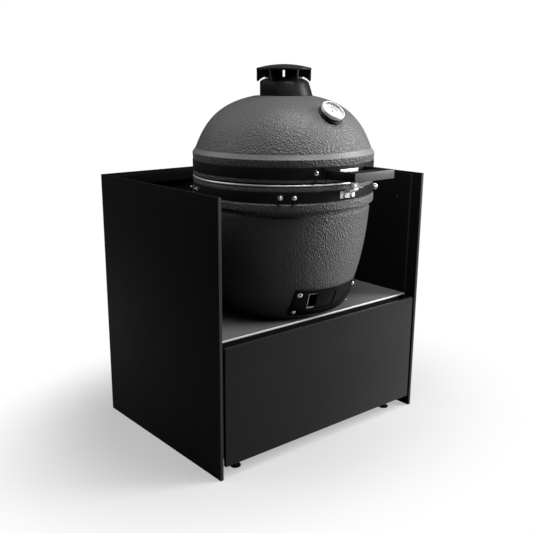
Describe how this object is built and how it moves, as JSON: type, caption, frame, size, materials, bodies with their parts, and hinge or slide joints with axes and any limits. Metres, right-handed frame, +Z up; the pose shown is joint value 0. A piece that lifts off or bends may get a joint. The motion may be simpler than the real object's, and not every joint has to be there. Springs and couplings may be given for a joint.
{
  "type": "kamado grill table",
  "caption": "Ceramic kamado grill with a hinged lid and turning vents, standing on the shelf of an open outdoor kitchen cabinet above one wide full-width drawer.",
  "frame": {"origin": "on the floor, under the middle of the whole table with the lid's handle", "axes": "+Z up, the front with the handle, latch and drawer faces -Y, +X to the right as seen from the front"},
  "size_m": [0.92, 0.8744, 1.2741],
  "materials": {
    "black_panel": "fine matt black laminate",
    "drawer_front": "fine matt black laminate",
    "drawer_box": "matt dark grey",
    "grey_shelf": "smooth matt grey",
    "bright_trim": "bright satin",
    "black_plastic": "matt",
    "runner_steel": "zinc plated",
    "glazed_body": "charcoal glaze with a fine dimpled skin",
    "fire_clay": "unglazed",
    "cast_iron": "black",
    "black_steel": "black powder coat",
    "stainless": "satin stainless",
    "spring_steel": "oiled",
    "pale_felt": "pale felt",
    "black_felt": "black felt",
    "grey_handle": "satin dark grey",
    "white_dial": "white",
    "red_needle": "red",
    "clear_glass": "clear"
  },
  "bodies": {
    "cabinet": {"left_side_panel": "black_panel", "right_side_panel": "black_panel", "left_inner_wall": "black_panel", "right_inner_wall": "black_panel", "back_panel": "black_panel", "back_top_rail": "black_panel", "floor_panel": "black_panel", "shelf": "grey_shelf", "shelf_edge_trim": "bright_trim", "shelf_support": "black_panel", "left_front_foot": "black_plastic", "left_rear_foot": "black_plastic", "right_front_foot": "black_plastic", "right_rear_foot": "black_plastic", "left_fixed_runner": "runner_steel", "right_fixed_runner": "runner_steel", "base_shell": "glazed_body", "base_gasket": "pale_felt", "firebox": "fire_clay", "fire_ring": "fire_clay", "charcoal_grate": "cast_iron", "cooking_grate": "cast_iron", "lower_band": "black_steel", "lower_hinge_bracket": "black_steel", "hinge_pin": "stainless", "left_hinge_spring": "spring_steel", "right_hinge_spring": "spring_steel", "draft_plate": "stainless", "draft_frame": "black_steel", "latch_base": "stainless"},
    "drawer": {"drawer_front": "drawer_front", "left_drawer_side": "drawer_box", "right_drawer_side": "drawer_box", "drawer_back": "drawer_box", "drawer_bottom": "drawer_box", "left_drawer_runner": "runner_steel", "right_drawer_runner": "runner_steel"},
    "middle_runners": {"left_middle_runner": "runner_steel", "right_middle_runner": "runner_steel"},
    "lid": {"lid_dome": "glazed_body", "lid_gasket": "black_felt", "upper_band": "black_steel", "upper_hinge_bracket": "black_steel", "handle_bar": "grey_handle", "handle_bracket": "black_steel", "latch_keeper": "stainless", "chimney_neck": "cast_iron", "thermometer_mount": "black_plastic", "thermometer_case": "stainless", "thermometer_dial": "white_dial", "thermometer_lens": "clear_glass", "thermometer_probe": "stainless"},
    "cap": {"chimney_cap": "cast_iron", "cap_nut": "stainless"},
    "needle": {"thermometer_needle": "red_needle"},
    "latch": {"latch_lever": "stainless"},
    "draft_slide": {"draft_door": "black_steel"}
  },
  "joints": [
    {"name": "drawer_slide", "type": "slide", "parent": "cabinet", "child": "drawer", "axis": [0, -1, 0], "range_m": [0, 0.4]},
    {"name": "middle_runner_slide", "type": "slide", "parent": "cabinet", "child": "middle_runners", "axis": [0, -1, 0], "range_m": [0, 0.2]},
    {"name": "lid_hinge", "type": "hinge", "parent": "cabinet", "child": "lid", "pos_m": [0, 0.32475, 0.9043], "axis": [-1, 0, 0], "range_deg": [0, 75], "stiffness_Nm_per_rad": 45, "springref_deg": 75.06},
    {"name": "cap_turn", "type": "hinge", "parent": "lid", "child": "cap", "pos_m": [0, -0.01525, 1.23], "axis": [0, 0, 1], "range_deg": [-30, 30]},
    {"name": "needle_turn", "type": "hinge", "parent": "lid", "child": "needle", "pos_m": [0, -0.24013, 1.11698], "axis": [0, -0.645, 0.7642], "range_deg": [-270, 0]},
    {"name": "latch_swing", "type": "hinge", "parent": "cabinet", "child": "latch", "pos_m": [0, -0.34725, 0.8923], "axis": [1, 0, 0], "range_deg": [-16, 50]},
    {"name": "draft_door_slide", "type": "hinge", "parent": "cabinet", "child": "draft_slide", "pos_m": [0, -0.01525, 0.52], "axis": [0, 0, 1], "range_deg": [-7.5, 15.2]}
  ],
  "couplings": [
    {"joint": "middle_runner_slide", "follows": "drawer_slide", "ratio": 0.5}
  ]
}
